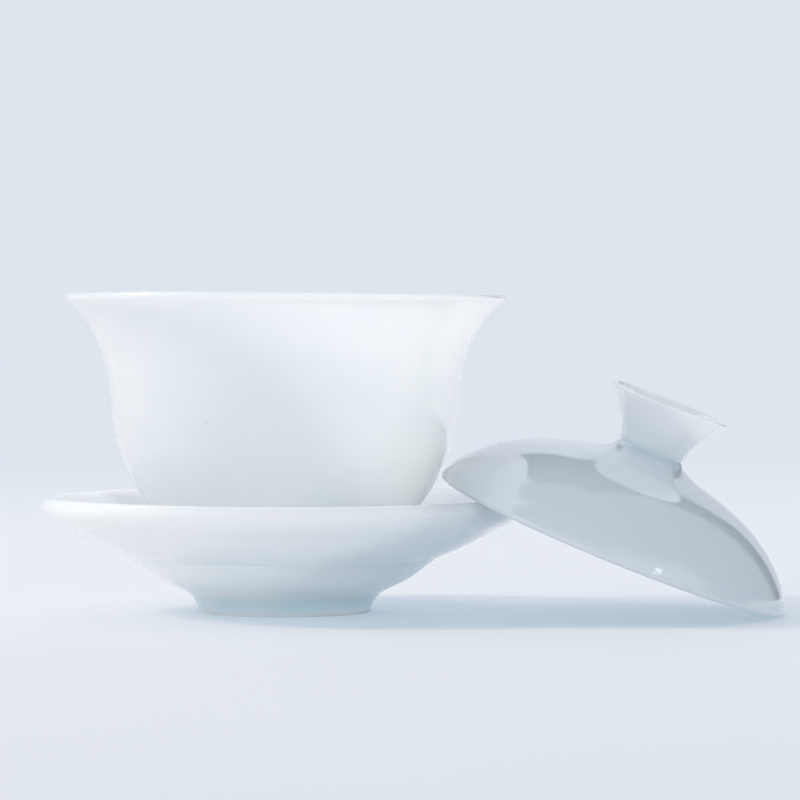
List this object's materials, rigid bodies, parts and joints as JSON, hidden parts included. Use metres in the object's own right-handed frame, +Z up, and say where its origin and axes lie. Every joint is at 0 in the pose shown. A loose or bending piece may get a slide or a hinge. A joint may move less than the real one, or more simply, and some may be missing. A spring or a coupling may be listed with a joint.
{
  "type": "gaiwan",
  "caption": "Porcelain gaiwan: a flared tea bowl standing in a footed saucer, with its domed, knobbed lid leaning beside it on the saucer's rim.",
  "frame": {"origin": "the table surface, under the middle of the whole outline; the saucer's own axis is 28.4 mm from it towards -X", "axes": "+Z up; +X from the saucer towards the leaning lid; +Y away from the side that is usually looked at"},
  "size_m": [0.1672, 0.1104, 0.0719],
  "materials": {
    "saucer_porcelain": "thin white porcelain under a clear, faintly blue-green glossy glaze",
    "bowl_porcelain": "thin white porcelain under a clear, faintly blue-green glossy glaze",
    "lid_porcelain": "thin white porcelain under a clear, faintly blue-green glossy glaze"
  },
  "bodies": {
    "saucer": {"saucer": "saucer_porcelain"},
    "bowl": {"bowl": "bowl_porcelain"},
    "lid": {"lid": "lid_porcelain"}
  },
  "joints": [
    {"name": "bowl_lift", "type": "slide", "parent": "saucer", "child": "bowl", "axis": [0, 0, 1], "range_m": [0, 0.08]},
    {"name": "lid_lift", "type": "slide", "parent": "saucer", "child": "lid", "axis": [0.3743, -0.0513, 0.9259], "range_m": [0, 0.08]}
  ]
}
